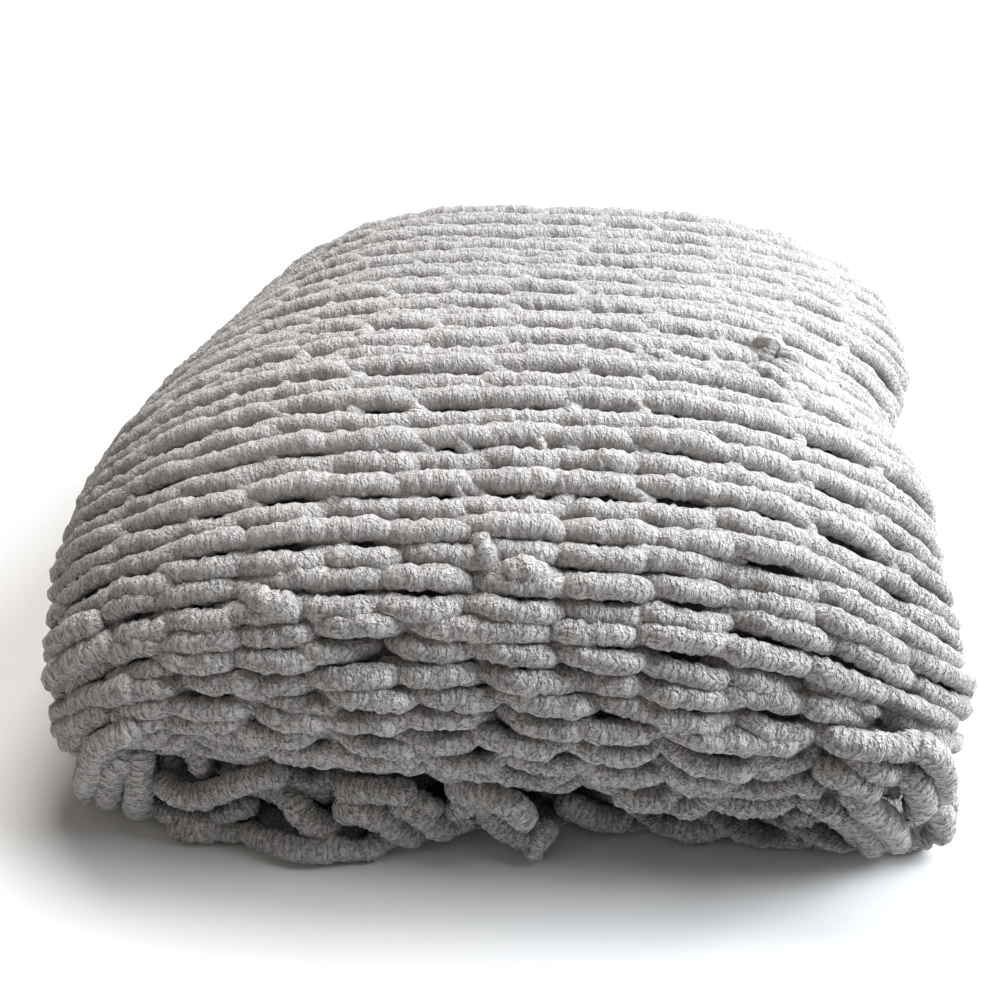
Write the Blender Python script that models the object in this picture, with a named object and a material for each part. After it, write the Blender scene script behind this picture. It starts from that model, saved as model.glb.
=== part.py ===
"""Chunky knit blanket, folded and lying flat (metres, +Z up).

The blanket is one piece of thick knit.  It is doubled across its width, with
the lengthwise fold at -X and the two open edges at +X, and is then rolled up
front to back: the free edge lies on the floor at the front, the bottom layer
runs back, turns up the back, comes forward as the top layer, rolls over the
front, and is tucked in above the bottom layer as two more layers.

The solid is a thick band that follows this path in the YZ plane and is lofted
along X.  Toward both ends the stack settles: it is lower and its corners draw
in.  The rows of knit are ribs along X on the faces that can be seen.  A thin
slot parts the two plies of the doubled cloth from the open edges at +X nearly
to the fold at -X.

Origin: middle of the overall length and depth, on the floor.  X runs along
the rows of knit.
"""
import math

import bpy
import numpy as np

ROPE = 0.015            # one rope of yarn; two ropes make one rib of knit stitches
RIB_DEPTH = 0.0042      # from the crest of a rope to the groove beside it
SLOT = 0.003            # gap between the two plies of the doubled cloth
SLOT_START = -0.90      # where the slot starts, as a share of the width from the middle
SLOT_END = 1.07         # past the open edges at +X
SLOT_OVERRUN = 0.02     # past the two free edges

# Corners of the folded path, seen from +X: the middle of the doubled cloth.
# y, z: corner; bend: radius of the fold there; half: half the doubled cloth's
# thickness (lower layers are pressed flatter); left, right: reach along X.
PATH_COLUMNS = ("y", "z", "bend", "half", "left", "right")
PATH = (
    (-0.240, 0.028, 0.000, 0.0280, 0.292, 0.306),   # free edge, front, on the floor
    (0.2475, 0.028, 0.055, 0.0280, 0.288, 0.288),   # bottom of the back
    (0.2460, 0.243, 0.055, 0.0330, 0.290, 0.314),   # top of the back
    (-0.090, 0.249, 0.150, 0.0330, 0.296, 0.288),   # where the top starts to fall
    (-0.206, 0.185, 0.100, 0.0310, 0.296, 0.290),   # shoulder of the front
    (-0.250, 0.088, 0.032, 0.0290, 0.294, 0.305),   # foot of the front, tucked under
    (0.181, 0.088, 0.039, 0.0290, 0.284, 0.290),    # inner fold, lower
    (0.181, 0.168, 0.039, 0.0330, 0.286, 0.284),    # inner fold, upper
    (-0.060, 0.168, 0.250, 0.0330, 0.288, 0.290),   # where the inmost layer bends down
    (-0.155, 0.148, 0.000, 0.0300, 0.288, 0.296),   # inner free edge
)
FIRST_RIB_CORNER = 1    # ribs run from the bottom of the back ...
LAST_RIB_CORNER = 5     # ... over the top to the foot of the front

# How the stack settles toward its ends: the share of its height left at the
# front and at the back of the very end, how late it drops (a power), and the
# share of its depth left at the front and at the back.
SETTLE_LEFT = {"height_front": 0.62, "height_back": 0.57, "power": 2.7,
               "depth_front": 0.86, "depth_back": 0.76}
SETTLE_RIGHT = {"height_front": 0.72, "height_back": 0.79, "power": 3.4,
                "depth_front": 0.90, "depth_back": 1.06}
DEPTH_POWER = 4.4       # how late the front and back corners draw in
MID_DEPTH = 0.55        # front to back, over which the height share changes

# The free edge at the front is uneven: (share of the width, how far forward).
EDGE_LINE = ((-1.0, 0.004), (-0.75, 0.022), (-0.44, 0.028), (-0.15, 0.012),
             (0.10, -0.012), (0.45, -0.004), (0.85, 0.012), (1.0, 0.004))
EDGE_FADE = 0.35        # share of the bottom layer over which this evens out

FOLD_ROUND = 0.030      # rounding of the doubled cloth at the lengthwise fold
FOLD_TIP = 0.30         # share of its thickness left at the tip of that fold
EDGE_ROUND = 0.014      # rounding at the open and free edges
EDGE_TIP = 0.55

# Where the loft has its sections, as shares of the width from the middle.
STATIONS = (-1.0, -0.985, -0.95, -0.88, -0.75, -0.55, -0.30, 0.0, 0.30, 0.55, 0.75, 0.88, 0.965, 1.0)
LONG_STEP = 0.080       # spacing of points on straight smooth runs
TURN_STEP = math.radians(30.0)
DENSE = 0.001           # spacing used to measure the path

YARN_GREY = (0.56, 0.55, 0.54, 1.0)


def column(name):
    """One named column of the path table."""
    index = PATH_COLUMNS.index(name)
    return np.array([row[index] for row in PATH])


def corner_arc(before, corner, after, radius):
    """Fillet of a corner: start point, centre, end point and signed turn."""
    into = (corner - before) / np.linalg.norm(corner - before)
    out = (after - corner) / np.linalg.norm(after - corner)
    turn = math.atan2(into[0] * out[1] - into[1] * out[0], into @ out)
    reach = radius * math.tan(abs(turn) / 2.0)
    start = corner - into * reach
    left = np.array((-into[1], into[0])) * math.copysign(1.0, turn)
    return start, start + left * radius, corner + out * reach, turn


def measured_path():
    """The rounded path in short steps.

    Returns the points, their headings, the corner number at each point (a
    number between two corners is a share of the way) and the turn so far.
    """
    corners = np.stack((column("y"), column("z")), axis=1)
    bends = column("bend")
    points, share = [corners[0]], [0.0]
    for i in range(1, len(corners) - 1):
        start, centre, end, turn = corner_arc(corners[i - 1], corners[i], corners[i + 1], bends[i])
        run = start - points[-1]
        steps = max(2, int(np.linalg.norm(run) / DENSE))
        origin, origin_share = points[-1], share[-1]
        for k in range(1, steps + 1):
            points.append(origin + run * k / steps)
            share.append(origin_share + (i - 0.1 - origin_share) * k / steps)
        steps = max(4, int(abs(turn) * bends[i] / DENSE))
        spoke = start - centre
        for k in range(1, steps + 1):
            c, s = math.cos(turn * k / steps), math.sin(turn * k / steps)
            points.append(centre + np.array((c * spoke[0] - s * spoke[1], s * spoke[0] + c * spoke[1])))
            share.append(i - 0.1 + 0.2 * k / steps)
    run = corners[-1] - points[-1]
    steps = int(np.linalg.norm(run) / DENSE)
    origin, origin_share = points[-1], share[-1]
    for k in range(1, steps + 1):
        points.append(origin + run * k / steps)
        share.append(origin_share + (len(corners) - 1 - origin_share) * k / steps)
    points = np.array(points)
    ahead = np.gradient(points, axis=0)
    heading = ahead / np.linalg.norm(ahead, axis=1, keepdims=True)
    return points, heading, np.array(share)


class FoldPath:
    """The measured path, with the cloth's thickness and reach along it."""

    def __init__(self):
        self.points, self.heading, self.share = measured_path()
        rows = np.arange(len(PATH))
        self.half = np.interp(self.share, rows, column("half"))
        self.left = np.interp(self.share, rows, column("left"))
        self.right = np.interp(self.share, rows, column("right"))
        self.outward = np.stack((self.heading[:, 1], -self.heading[:, 0]), axis=1)
        outer = self.points + self.outward * self.half[:, None]
        step = np.linalg.norm(np.diff(outer, axis=0), axis=1)
        self.length = np.concatenate(((0.0,), np.cumsum(step)))

    def at_length(self, wanted):
        """Index of the point at a length along the outer face."""
        return min(int(np.searchsorted(self.length, wanted - 1e-9)), len(self.points) - 1)

    def edge_thickness(self, i):
        """Share of the thickness left close to the two free edges."""
        inset = min(self.length[i], self.length[-1] - self.length[i])
        return rounding(inset, EDGE_ROUND, EDGE_TIP)

    def nodes(self):
        """Indices of the loft's lengthwise lines, and which spans carry a rib."""
        first = int(np.searchsorted(self.share, FIRST_RIB_CORNER))
        last = int(np.searchsorted(self.share, LAST_RIB_CORNER + 0.1))
        angle = np.unwrap(np.arctan2(self.heading[:, 1], self.heading[:, 0]))
        near, far = 0.3 * EDGE_ROUND, EDGE_ROUND
        lines = [0, self.at_length(near), self.at_length(far)]
        ribbed = [False, False]
        i = lines[-1]
        while i < first:
            i = self.next_smooth(i, first, angle)
            lines.append(i)
            ribbed.append(False)
        ribs = round((self.length[last] - self.length[first]) / (2.0 * ROPE))
        for k in range(1, ribs + 1):
            wanted = self.length[first] + (self.length[last] - self.length[first]) * k / ribs
            lines.append(self.at_length(wanted))
            ribbed.append(True)
        i = lines[-1]
        end = self.at_length(self.length[-1] - far)
        while i < end:
            i = self.next_smooth(i, end, angle)
            lines.append(i)
            ribbed.append(False)
        lines += [self.at_length(self.length[-1] - near), len(self.points) - 1]
        ribbed += [False, False]
        return lines, ribbed

    def next_smooth(self, i, stop, angle):
        """The next line after i that keeps long steps and large turns in check."""
        j = i + 1
        while j < stop:
            if self.length[j] - self.length[i] > LONG_STEP or abs(angle[j] - angle[i]) > TURN_STEP:
                break
            j += 1
        return j


def settle(share_of_width, y):
    """Height and depth scale of the stack at one place along X and Y."""
    row = SETTLE_LEFT if share_of_width < 0.0 else SETTLE_RIGHT
    far = min(abs(share_of_width), 1.0)
    backward = min(max(y / MID_DEPTH + 0.5, 0.0), 1.0)
    height = row["height_front"] + (row["height_back"] - row["height_front"]) * backward
    depth = row["depth_front"] if y < 0.0 else row["depth_back"]
    return 1.0 - (1.0 - height) * far ** row["power"], 1.0 - (1.0 - depth) * far ** DEPTH_POWER


def rounding(inset, size, tip):
    """Quarter-ellipse from the tip's share, at no inset, to 1 at the full size."""
    t = min(max(inset / size, 0.0), 1.0)
    return tip + (1.0 - tip) * math.sqrt(1.0 - (1.0 - t) ** 2)


def end_thickness(share_of_width, reach):
    """Share of the thickness left close to the fold or to the open edges."""
    inset = (1.0 - abs(share_of_width)) * reach
    if share_of_width < 0.0:
        return rounding(inset, FOLD_ROUND, FOLD_TIP)
    return rounding(inset, EDGE_ROUND, EDGE_TIP)


def edge_forward(share_along, share_of_width):
    """How far the uneven free edge pulls the bottom layer forward."""
    shares, forward = zip(*EDGE_LINE)
    fade = min(share_along / EDGE_FADE, 1.0)
    return float(np.interp(share_of_width, shares, forward)) * 0.5 * (1.0 + math.cos(math.pi * fade))


def place(path, i, offset, share_of_width):
    """A point of the band: offset is the distance outward from the path."""
    y, z = path.points[i]
    low, deep = settle(share_of_width, y)
    y -= edge_forward(path.share[i], share_of_width)
    out = path.outward[i]
    reach = path.left[i] if share_of_width < 0.0 else path.right[i]
    return (share_of_width * reach, deep * y + low * offset * out[0], low * (z + offset * out[1]))


def face_lines(path):
    """Points round one section of the band, and its spans.

    Each point is (path index, side, height of rib).  Every rib on the outer
    side has a groove, a crest, the shallower groove between its two ropes and
    a second crest.  A span is the first and last outer point between two lines.
    """
    lines, ribbed = path.nodes()
    outer, spans = [], []
    for k, has_rib in enumerate(ribbed):
        begin = len(outer)
        outer.append((lines[k], 1.0, -RIB_DEPTH if has_rib or (k and ribbed[k - 1]) else 0.0))
        if has_rib:
            for part, rise in ((0.25, 0.0), (0.50, -0.7 * RIB_DEPTH), (0.75, 0.0)):
                wanted = path.length[lines[k]] * (1 - part) + path.length[lines[k + 1]] * part
                outer.append((int(np.searchsorted(path.length, wanted)), 1.0, rise))
        spans.append((begin, len(outer)))
    outer.append((lines[-1], 1.0, 0.0))
    inner = [(i, -1.0, 0.0) for i in reversed(lines)]
    return outer + inner, spans


def loft(name, rings, spans):
    """Closed mesh through rings of points, with the end faces made span by span."""
    count = len(rings[0])
    vertices = [point for ring in rings for point in ring]
    faces = []
    for s in range(len(rings) - 1):
        low, high = s * count, (s + 1) * count
        for k in range(count):
            after = (k + 1) % count
            faces.append((low + k, low + after, high + after, high + k))
    last = (len(rings) - 1) * count
    for number, (begin, end) in enumerate(spans):
        outer = list(range(begin, end + 1))
        inner = [count - 2 - number, count - 1 - number]
        cap = outer + inner
        faces.append(tuple(reversed(cap)))
        faces.append(tuple(last + k for k in cap))
    mesh = bpy.data.meshes.new(name)
    mesh.from_pydata(vertices, [], faces)
    mesh.validate()
    return mesh


def band_mesh(path):
    """The doubled cloth, lofted along X with its ribs and rounded ends."""
    points, spans = face_lines(path)
    rings = []
    for s in STATIONS:
        ring = []
        for i, side, rise in points:
            reach = path.left[i] if s < 0.0 else path.right[i]
            left_over = end_thickness(s, reach) * path.edge_thickness(i)
            ring.append(place(path, i, side * (path.half[i] + rise) * left_over, s))
        rings.append(ring)
    return loft("blanket", rings, spans)


def slot_mesh(path):
    """The gap between the two plies, open at +X and at both free edges."""
    lines, _ = path.nodes()
    spans = [(k, k + 1) for k in range(len(lines) - 1)]
    overrun = {lines[0]: -SLOT_OVERRUN, lines[-1]: SLOT_OVERRUN}
    stations = [SLOT_START] + [s for s in STATIONS if SLOT_START < s < 1.0] + [SLOT_END]
    rings = []
    for s in stations:
        sides = []
        for side in (1.0, -1.0):
            ring = []
            for i in lines:
                low, _ = settle(s, path.points[i][0])
                x, y, z = place(path, i, side * 0.5 * SLOT / low, s)
                slide = path.heading[i] * overrun.get(i, 0.0)
                ring.append((x, y + slide[0], z + slide[1]))
            sides.append(ring)
        rings.append(sides[0] + sides[1][::-1])
    return loft("ply_slot", rings, spans)


def middle_to_origin(mesh):
    """The move that puts the middle of a mesh's length and depth at the origin."""
    points = np.array([vertex.co for vertex in mesh.vertices])
    middle = 0.5 * (points.min(axis=0) + points.max(axis=0))
    return (-middle[0], -middle[1], 0.0)


def yarn_material():
    """Matt grey chenille yarn."""
    material = bpy.data.materials.new("grey_chenille")
    material.use_nodes = True
    shader = material.node_tree.nodes["Principled BSDF"]
    shader.inputs["Base Color"].default_value = YARN_GREY
    shader.inputs["Roughness"].default_value = 0.95
    shader.inputs["Metallic"].default_value = 0.0
    return material


def clear_scene():
    """Start from an empty file."""
    for item in list(bpy.data.objects):
        bpy.data.objects.remove(item, do_unlink=True)


def new_collection(name):
    """A collection linked to the scene."""
    collection = bpy.data.collections.new(name)
    bpy.context.scene.collection.children.link(collection)
    return collection


def build():
    """Make the blanket and the cutter that parts its plies."""
    clear_scene()
    parts = new_collection("chunky_knit_blanket")
    cutters = new_collection("cutters")
    path = FoldPath()

    cutter = bpy.data.objects.new("ply_slot", slot_mesh(path))
    cutter.hide_render = True
    cutter.display_type = "WIRE"
    cutters.objects.link(cutter)

    blanket = bpy.data.objects.new("blanket", band_mesh(path))
    blanket.data.materials.append(yarn_material())
    parts.objects.link(blanket)
    blanket.location = middle_to_origin(blanket.data)
    cutter.location = blanket.location
    cut = blanket.modifiers.new("part the plies", "BOOLEAN")
    cut.operation = "DIFFERENCE"
    cut.solver = "EXACT"
    cut.object = cutter


build()
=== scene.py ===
"""Looks of the folded chunky knit blanket: its chenille yarn, floor, light and camera.

Metres, +Z up.  Columns of stitches run along X, and each shows as two ropes of
yarn, which the comments call rows.  The cloth is measured in its own two
directions before it is placed.  `course` counts stitches across the cloth,
from 0 at one open edge at +X, round the lengthwise fold at -X, to COURSES at
the other open edge.  `wale` counts columns of stitches along the rolled path,
from 0 at the free edge on the floor at the front.  `rise` is the height of a
point above the middle of its ply, toward the knit side.
"""
import math

import bpy
import numpy as np
from mathutils import Matrix, Vector


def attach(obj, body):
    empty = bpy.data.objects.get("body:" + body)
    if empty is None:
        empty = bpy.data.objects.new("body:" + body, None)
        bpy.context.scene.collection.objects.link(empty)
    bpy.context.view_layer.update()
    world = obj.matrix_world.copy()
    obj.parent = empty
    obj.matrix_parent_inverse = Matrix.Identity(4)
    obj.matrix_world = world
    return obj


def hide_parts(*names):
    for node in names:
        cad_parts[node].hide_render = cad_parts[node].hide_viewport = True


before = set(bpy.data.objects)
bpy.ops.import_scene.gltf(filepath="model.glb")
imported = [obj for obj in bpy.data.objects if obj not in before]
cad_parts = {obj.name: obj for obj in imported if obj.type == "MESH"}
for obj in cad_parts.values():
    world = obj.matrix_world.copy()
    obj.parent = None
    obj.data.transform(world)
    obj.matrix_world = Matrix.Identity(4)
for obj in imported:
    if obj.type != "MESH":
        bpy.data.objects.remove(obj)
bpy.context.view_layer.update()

# --------------------------------------------------------------------------
# Sizes of the folded blanket
# --------------------------------------------------------------------------
CENTRE = (-0.008954, -0.010909)     # moves the middle of the folded cloth to the origin

# Corners of the folded path, seen from +X: the middle of the doubled cloth.
# y, z: corner; bend: radius of the fold there; half: half the doubled cloth's
# thickness (lower layers are pressed flatter); left, right: reach along X.
PATH_COLUMNS = ("y", "z", "bend", "half", "left", "right")
PATH = (
    (-0.240, 0.028, 0.000, 0.0280, 0.292, 0.306),   # free edge, front, on the floor
    (0.2475, 0.028, 0.055, 0.0280, 0.288, 0.288),   # bottom of the back
    (0.2460, 0.243, 0.055, 0.0330, 0.290, 0.314),   # top of the back
    (-0.090, 0.249, 0.150, 0.0330, 0.296, 0.288),   # where the top starts to fall
    (-0.206, 0.185, 0.100, 0.0310, 0.296, 0.290),   # shoulder of the front
    (-0.250, 0.088, 0.032, 0.0290, 0.294, 0.305),   # foot of the front, tucked under
    (0.181, 0.088, 0.039, 0.0290, 0.284, 0.290),    # inner fold, lower
    (0.181, 0.168, 0.039, 0.0330, 0.286, 0.284),    # inner fold, upper
    (-0.060, 0.168, 0.250, 0.0330, 0.288, 0.290),   # where the inmost layer bends down
    (-0.155, 0.148, 0.000, 0.0300, 0.288, 0.296),   # inner free edge
)
BACK_CORNER, FOOT_CORNER = 1, 5
ARC_SHARE = 0.1         # an arc runs from this much before its corner to this much after

# How the stack settles toward its ends: the share of its height left at the
# front and at the back of the very end, how late it drops (a power), and the
# share of its depth left at the front and at the back.
SETTLE_LEFT = {"height_front": 0.62, "height_back": 0.57, "power": 2.7,
               "depth_front": 0.86, "depth_back": 0.76}
SETTLE_RIGHT = {"height_front": 0.72, "height_back": 0.79, "power": 3.4,
                "depth_front": 0.90, "depth_back": 1.06}
DEPTH_POWER = 4.4       # how late the depth drops
MID_DEPTH = 0.55        # the front's values give way to the back's over this depth

# The free edge at the front is uneven: (share of the width, how far forward).
EDGE_LINE = ((-1.0, 0.004), (-0.75, 0.022), (-0.44, 0.028), (-0.15, 0.012),
             (0.10, -0.012), (0.45, -0.004), (0.85, 0.012), (1.0, 0.004))
EDGE_FADE = 0.35        # its unevenness is gone this far along the path, in corners
PATH_STEP = 0.001

# The knit.
WALE = 0.030            # width of one column of stitches: two ropes of yarn
COURSES = 24.0          # stitches across the whole cloth
FOLD_FROM, FOLD_TO = 11.5, 12.5     # the courses that go round the lengthwise fold
FIRST_COURSE = 0.25     # middle of course 0
LAST_COURSE = 23
FIRST_WALE = 0.55       # where the first stitch of each course starts
LOOP_REACH = 0.75       # from a loop's middle to its head, in courses
EDGE_REACH = (0.90, 0.70)       # ... at the heads of course 0 and the feet of the last
LOOP_SWELL = 0.125      # how far a loop is wider at its head than at its feet, in wales
LEG_RISE = 0.0062       # how far a leg stands above the middle of the ply
HEAD_DIVE = {"from": 0.48, "drop": 0.0115}      # a head dives late and steeply
FOOT_DIVE = {"from": 0.10, "drop": 0.0160}      # a foot comes up slowly from deep
SHALLOW = 0.22          # share of these dives left where the cloth is stretched over the top
SHALLOW_FROM, SHALLOW_TO = 44.0, 37.5           # wales between which it gets stretched
# Two legs lean together and the front one lies over: how much closer, in wales,
# and higher on the stretched top, and the share of both that is left elsewhere.
PAIR = {"closer": 0.030, "higher": 0.0013, "elsewhere": 0.3}
# Places where a leg has slipped back between its neighbours (course, wale), and
# the width and depth of the hole that it leaves.
HOLES = ((0.80, 40.50), (0.40, 41.70), (1.80, 43.00), (0.95, 43.40),
         (2.50, 41.20), (4.40, 43.50), (7.00, 42.80))
HOLE = {"courses": 0.36, "wales": 0.24, "deep": 0.013}
EDGE_SHORT = 0.004      # the open edges lie this much inside, and their loops' heads fill it
YARN_RADIUS = 0.0077
CREST = LEG_RISE + YARN_RADIUS      # outer face of the yarn above the middle of the ply

# Where the cloth is pulled out of its even shape.  course, wale: middle of the
# pull; courses, wales: how far it is felt; right, front, down: how far the
# middle moves.
PULLS = (
    # course, wale, courses, wales, right, front, down
    (12.0, 46.8, 2.0, 3.6, 0.018, -0.012, 0.026),    # left corner, dropped behind its loose ropes
    (12.2, 43.4, 2.3, 4.6, 0.002, 0.004, 0.036),     # the rows above it
    (-0.3, 44.5, 4.5, 6.5, 0.004, 0.004, 0.014),     # right corner, drooping
    (-0.9, 42.5, 2.8, 7.0, 0.000, 0.004, 0.022),     # row ends of the right corner, turned down
    (-0.4, 46.6, 3.4, 5.0, -0.034, -0.022, -0.022),  # right corner's foot, behind its loose ropes
    (0.0, 29.8, 4.0, 4.0, 0.010, 0.000, 0.000),      # right side of the top, bulging
    (0.0, 34.5, 3.0, 3.0, -0.020, 0.000, 0.000),     # the hollow below it
    (-0.3, 41.6, 3.4, 3.0, 0.011, 0.000, 0.000),     # and the bulge of the shoulder below that
    (-0.3, 23.5, 4.0, 5.0, -0.022, 0.000, 0.008),    # the far right corner of the top, rounded off
    (11.5, 26.0, 4.0, 7.0, 0.016, 0.000, 0.000),     # left side of the top, drawn in
    (4.6, 47.4, 6.8, 3.6, 0.000, 0.008, 0.018),      # foot of the front, sagging over the free edge
    (12.0, 0.0, 3.6, 6.0, 0.050, -0.045, 0.000),     # left end of the free edge, tucked in
    (18.5, 0.0, 7.5, 4.0, 0.000, -0.030, 0.012),     # inner ply's free edge, lying further back
)


def pulled(course, wale):
    """Sum of the pulls: each moves the cloth by its size times (1 - r^2)^2, r = 1 at its reach."""
    moved = np.zeros(np.shape(course) + (3,))
    for at_course, at_wale, courses, wales, right, front, down in PULLS:
        r2 = ((course - at_course) / courses) ** 2 + ((wale - at_wale) / wales) ** 2
        moved += (np.maximum(1.0 - r2, 0.0) ** 2)[..., None] * np.array((right, -front, -down))
    return moved


def column(name):
    """One named column of the path table."""
    index = PATH_COLUMNS.index(name)
    return np.array([row[index] for row in PATH])


def length_along(points):
    """Length of a line from its first point to each of its points."""
    return np.concatenate(((0.0,), np.cumsum(np.linalg.norm(np.diff(points, axis=0), axis=1))))


def rounded_path():
    """Points and corner shares along the folded path, in 1 mm steps.

    Corner i is an arc of radius bend_i that touches both runs at
    bend_i * tan(turn_i / 2) from the corner, and the runs between are straight.
    """
    corners = np.stack((column("y"), column("z")), axis=1)
    bends = column("bend")
    runs = np.diff(corners, axis=0)
    runs /= np.linalg.norm(runs, axis=1, keepdims=True)
    points, shares = [corners[:1]], [np.zeros(1)]

    def straight_to(end, share):
        start, before = points[-1][-1], shares[-1][-1]
        steps = max(2, int(np.linalg.norm(end - start) / PATH_STEP))
        part = np.arange(1, steps + 1) / steps
        points.append(start + (end - start) * part[:, None])
        shares.append(before + (share - before) * part)

    for i in range(1, len(corners) - 1):
        into, out = runs[i - 1], runs[i]
        turn = math.atan2(into[0] * out[1] - into[1] * out[0], into @ out)
        start = corners[i] - into * bends[i] * math.tan(abs(turn) / 2.0)
        centre = start + math.copysign(bends[i], turn) * np.array((-into[1], into[0]))
        straight_to(start, i - ARC_SHARE)
        steps = max(4, int(abs(turn) * bends[i] / PATH_STEP))
        part = np.arange(1, steps + 1) / steps
        cosine, sine = np.cos(turn * part), np.sin(turn * part)
        spoke = start - centre
        points.append(centre + np.stack((cosine * spoke[0] - sine * spoke[1],
                                         sine * spoke[0] + cosine * spoke[1]), axis=1))
        shares.append(i - ARC_SHARE + 2.0 * ARC_SHARE * part)
    straight_to(corners[-1], len(corners) - 1)
    return np.concatenate(points), np.concatenate(shares)


path_points, path_share = rounded_path()
path_ahead = np.gradient(path_points, axis=0)
path_ahead /= np.linalg.norm(path_ahead, axis=1, keepdims=True)
path_out = np.stack((path_ahead[:, 1], -path_ahead[:, 0]), axis=1)
path_rows = {name: np.interp(path_share, np.arange(len(PATH)), column(name))
             for name in ("half", "left", "right")}
outer_face = path_points + path_out * path_rows["half"][:, None]
path_length = length_along(outer_face)
WALES = path_length[-1] / WALE


def wale_at(corner):
    """The wale that lies at one corner of the path."""
    return float(np.interp(corner, path_share, path_length)) / WALE


def settle(across, y):
    """Share of height and of depth left at one place along X and Y.

    height left = 1 - (1 - h) * |x|^power, with h from the front's to the
    back's value; depth left = 1 - (1 - d) * |x|^DEPTH_POWER.
    """
    far = np.minimum(np.abs(across), 1.0)
    left = across < 0.0
    backward = np.clip(y / MID_DEPTH + 0.5, 0.0, 1.0)

    def pick(name):
        return np.where(left, SETTLE_LEFT[name], SETTLE_RIGHT[name])

    height = pick("height_front") + (pick("height_back") - pick("height_front")) * backward
    depth = np.where(y < 0.0, pick("depth_front"), pick("depth_back"))
    return (1.0 - (1.0 - height) * far ** pick("power"),
            1.0 - (1.0 - depth) * far ** DEPTH_POWER)


def place(course, wale, rise):
    """Where a point of the cloth lies.

    The path gives the place and the outward direction at the wale.  The ply's
    turn phi is 0 on the outer ply, 0 to pi round the lengthwise fold and pi on
    the inner ply; past course 0 and past COURSES the open edges curl toward
    each other and phi goes below 0 and beyond pi.  With m the ply's distance
    from the middle of the doubled cloth: x = line - (m + rise) * sin(phi) and
    offset = (m + rise) * cos(phi) along the outward direction.  Then the free
    edge's line moves y forward, the depth left scales the path's y, the height
    left scales its z and the offset, and the pulls are added.
    """
    course, wale, rise = np.broadcast_arrays(np.asarray(course, float), wale, rise)
    moved = pulled(course, wale)
    length = wale * WALE
    inside = np.clip(length, 0.0, path_length[-1])
    beyond = length - inside
    y, z, out_y, out_z, share, half, left, right = (
        np.interp(inside, path_length, row) for row in
        (path_points[:, 0], path_points[:, 1], path_out[:, 0], path_out[:, 1], path_share,
         path_rows["half"], path_rows["left"], path_rows["right"]))
    y = y - out_z * beyond
    z = z + out_y * beyond
    middle = half - CREST
    at_fold = -(left - half)
    at_edge = right - middle - EDGE_SHORT
    curl = (at_edge - at_fold) / FOLD_FROM / middle
    phi = math.pi * np.clip((course - FOLD_FROM) / (FOLD_TO - FOLD_FROM), 0.0, 1.0)
    phi = phi + curl * (np.maximum(course - COURSES, 0.0) - np.maximum(-course, 0.0))
    course = np.clip(course, 0.0, COURSES)
    outer = at_edge + (at_fold - at_edge) * course / FOLD_FROM
    inner = at_fold + (at_edge - at_fold) * (course - FOLD_TO) / (COURSES - FOLD_TO)
    line = np.where(course < FOLD_FROM, outer, np.where(course > FOLD_TO, inner, at_fold))
    x = line - (middle + rise) * np.sin(phi)
    offset = (middle + rise) * np.cos(phi)
    across = np.where(x < 0.0, x / left, x / right)
    low, deep = settle(across, y)
    shares, forward = zip(*EDGE_LINE)
    fade = 0.5 * (1.0 + np.cos(math.pi * np.minimum(share / EDGE_FADE, 1.0)))
    y = y - np.interp(across, shares, forward) * fade
    return moved + np.stack((x + CENTRE[0], deep * y + low * offset * out_y + CENTRE[1],
                             low * (z + offset * out_z)), axis=-1)


# --------------------------------------------------------------------------
# Unevenness
# --------------------------------------------------------------------------
DRIFT_KNOTS = 256       # a drift repeats itself after this many of its steps
TUFT_CELLS = 509        # and the pile after this many tufts along the yarn
# Slow wander of the rows: its size in wales, its turn for each course and each
# wale, and its phase.
SWAYS = ((0.080, 0.38, 0.23, 0.0), (0.050, 0.71, -0.31, 1.3), (0.025, 1.40, 0.53, 4.1))


def eased(part):
    """0 below 0, 1 above 1 and 3 p^2 - 2 p^3 between."""
    part = np.clip(part, 0.0, 1.0)
    return part * part * (3.0 - 2.0 * part)


def between(pair, part):
    """The pair's first value where part is 0, its second where part is 1."""
    return pair[0] + (pair[1] - pair[0]) * part


def drift(at, seed):
    """Smooth random wander: random numbers in -1..1 at whole numbers, eased between."""
    knots = np.random.default_rng(seed).uniform(-1.0, 1.0, DRIFT_KNOTS)
    low = np.floor(at).astype(int)
    ease = eased(at - low)
    return knots[low % DRIFT_KNOTS] * (1.0 - ease) + knots[(low + 1) % DRIFT_KNOTS] * ease


def tufts(along, around, cells_round, seed):
    """Pile of the chenille: random heights in -1..1 on a grid of cells along and
    around the yarn, eased between its corners."""
    heights = np.random.default_rng(seed).uniform(-1.0, 1.0, (TUFT_CELLS, cells_round))
    row, turn = np.floor(along).astype(int), np.floor(around).astype(int)
    ahead, beside = eased(along - row), eased(around - turn)
    row, next_row = row % TUFT_CELLS, (row + 1) % TUFT_CELLS
    turn, next_turn = turn % cells_round, (turn + 1) % cells_round
    here = heights[row, turn] * (1 - beside) + heights[row, next_turn] * beside
    there = heights[next_row, turn] * (1 - beside) + heights[next_row, next_turn] * beside
    return here * (1 - ahead) + there * ahead


def sway(course, wale):
    """Slow wander of the rows, in wales: the sum of a few long waves over the cloth."""
    return sum(size * np.sin(per_course * course + per_wale * wale + phase)
               for size, per_course, per_wale, phase in SWAYS)


# --------------------------------------------------------------------------
# Yarn
# --------------------------------------------------------------------------
# How the yarn runs in the knit.  A pair holds one value for the top and one for
# low on the front, where the knit is looser.
LOOSE_FROM, LOOSE_TO = 37.0, 43.0       # wales over which the knit gets looser
LEG_SLANT = (0.030, 0.085)      # right ends of legs lie lower, in wales
LEG_BOW = (0.020, 0.110)        # and their middles sag
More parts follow.
